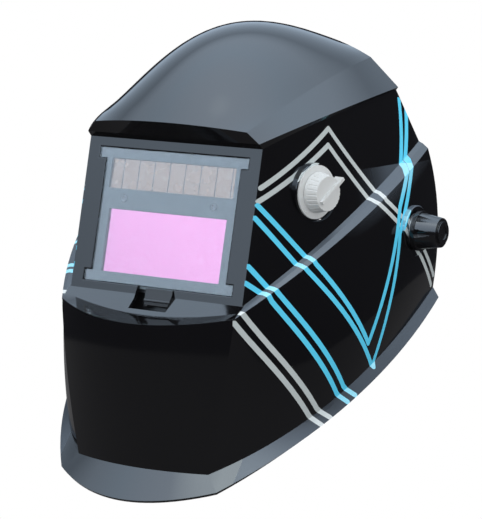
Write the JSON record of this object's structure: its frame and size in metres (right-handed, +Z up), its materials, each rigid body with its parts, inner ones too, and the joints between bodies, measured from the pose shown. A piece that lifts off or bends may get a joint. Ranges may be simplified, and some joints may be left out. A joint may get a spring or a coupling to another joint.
{
  "type": "welding helmet",
  "caption": "Black auto-darkening welding helmet with a tilting shell, framed filter window, side shade dial and an adjustable ratchet head harness.",
  "frame": {"origin": "midway between the two tilt pivots, on the tilt axis", "axes": "+X to the wearer's left, -Y forward where the wearer looks, +Z up to the crown"},
  "size_m": [0.2768, 0.3081, 0.3013],
  "materials": {
    "shell_plastic": "gloss",
    "lens_clear": "clear",
    "case_plastic": "satin",
    "body_plastic": "matte",
    "lcd_glass": "gloss",
    "solar_glass": "satin",
    "sensor_glass": "gloss",
    "board": "satin",
    "trim_plastic": "satin",
    "holder_plastic": "satin",
    "steel": "satin",
    "white_plastic": "satin",
    "pot_metal": "satin",
    "cable_rubber": "satin",
    "knob_plastic": "gloss",
    "brass": "satin",
    "band_plastic": "satin",
    "sweat_fabric": "matte",
    "pad_fabric": "matte"
  },
  "bodies": {
    "headgear": {"brow_band": "band_plastic", "guide_studs": "band_plastic", "sweatband": "sweat_fabric", "crown_strap_left": "band_plastic", "crown_strap_right": "band_plastic", "strap_studs": "band_plastic", "crown_peg": "band_plastic", "ratchet_housing": "band_plastic", "ratchet_cover": "band_plastic", "housing_screws": "steel", "nape_pad": "pad_fabric", "pivot_block_left": "band_plastic", "pivot_block_right": "band_plastic", "block_rivet_left": "steel", "block_rivet_right": "steel", "pivot_bolt_left": "steel", "pivot_bolt_right": "steel", "tilt_disc_left": "band_plastic", "tilt_disc_right": "band_plastic", "friction_washer_left": "trim_plastic", "friction_washer_right": "trim_plastic", "knob_washer_left": "steel", "knob_washer_right": "steel"},
    "shell": {"shell": "shell_plastic", "cover_lens": "lens_clear", "adf_case": "case_plastic", "adf_body": "body_plastic", "lcd_filter": "lcd_glass", "solar_panel": "solar_glass", "arc_sensors": "sensor_glass", "adf_board": "board", "adf_back": "body_plastic", "inner_lens": "lens_clear", "battery_caps": "trim_plastic", "filter_holder": "holder_plastic", "holder_screws": "steel", "latch_pin": "steel", "shade_skirt": "white_plastic", "shade_pot": "pot_metal", "pot_nut": "steel", "cable_gland": "trim_plastic", "pot_cable": "cable_rubber"},
    "sensitivity_dial": {"sensitivity_dial": "trim_plastic"},
    "delay_dial": {"delay_dial": "trim_plastic"},
    "cover_latch": {"cover_latch": "holder_plastic"},
    "shade_knob": {"shade_knob": "white_plastic", "shade_shaft": "steel"},
    "tension_knob_left": {"tension_knob_left": "knob_plastic", "tension_insert_left": "brass"},
    "tension_knob_right": {"tension_knob_right": "knob_plastic", "tension_insert_right": "brass"},
    "rear_strap_left": {"rear_strap_left": "band_plastic"},
    "rear_strap_right": {"rear_strap_right": "band_plastic"},
    "ratchet_knob": {"ratchet_knob": "knob_plastic", "ratchet_pinion": "holder_plastic"}
  },
  "joints": [
    {"name": "shell_tilt", "type": "hinge", "parent": "headgear", "child": "shell", "pos_m": [0, 0, 0], "axis": [-1, 0, 0], "range_deg": [0, 78]},
    {"name": "shade_turn", "type": "hinge", "parent": "shell", "child": "shade_knob", "pos_m": [0.08649, -0.0835, 0.034], "axis": [0.9781, -0.2079, 0], "range_deg": [-135, 135]},
    {"name": "sensitivity_turn", "type": "hinge", "parent": "shell", "child": "sensitivity_dial", "pos_m": [-0.013, -0.11311, 0.03892], "axis": [0, 0.9707, -0.2402], "range_deg": [-135, 135]},
    {"name": "delay_turn", "type": "hinge", "parent": "shell", "child": "delay_dial", "pos_m": [0.013, -0.11311, 0.03892], "axis": [0, 0.9707, -0.2402], "range_deg": [-135, 135]},
    {"name": "latch_turn", "type": "hinge", "parent": "shell", "child": "cover_latch", "pos_m": [0.003, -0.13761, -0.04052], "axis": [1, 0, 0], "range_deg": [0, 35]},
    {"name": "tension_turn_left", "type": "hinge", "parent": "headgear", "child": "tension_knob_left", "pos_m": [0.1194, 0, 0], "axis": [1, 0, 0], "continuous": true},
    {"name": "tension_turn_right", "type": "hinge", "parent": "headgear", "child": "tension_knob_right", "pos_m": [-0.1194, 0, 0], "axis": [-1, 0, 0], "continuous": true},
    {"name": "ratchet_turn", "type": "hinge", "parent": "headgear", "child": "ratchet_knob", "pos_m": [0, 0.09643, -0.03896], "axis": [0, 0.9272, -0.3746], "range_deg": [-180, 90]},
    {"name": "strap_pull_left", "type": "hinge", "parent": "headgear", "child": "rear_strap_left", "pos_m": [0, 0.0204, -0.00824], "axis": [0, 0.3746, 0.9272], "range_deg": [-7.6, 15.2]},
    {"name": "strap_pull_right", "type": "hinge", "parent": "headgear", "child": "rear_strap_right", "pos_m": [0, 0.0204, -0.00824], "axis": [0, 0.3746, 0.9272], "range_deg": [-14.93, 7.47]}
  ],
  "couplings": [
    {"joint": "strap_pull_left", "follows": "ratchet_turn", "ratio": -0.084439},
    {"joint": "strap_pull_right", "follows": "ratchet_turn", "ratio": 0.082938}
  ]
}
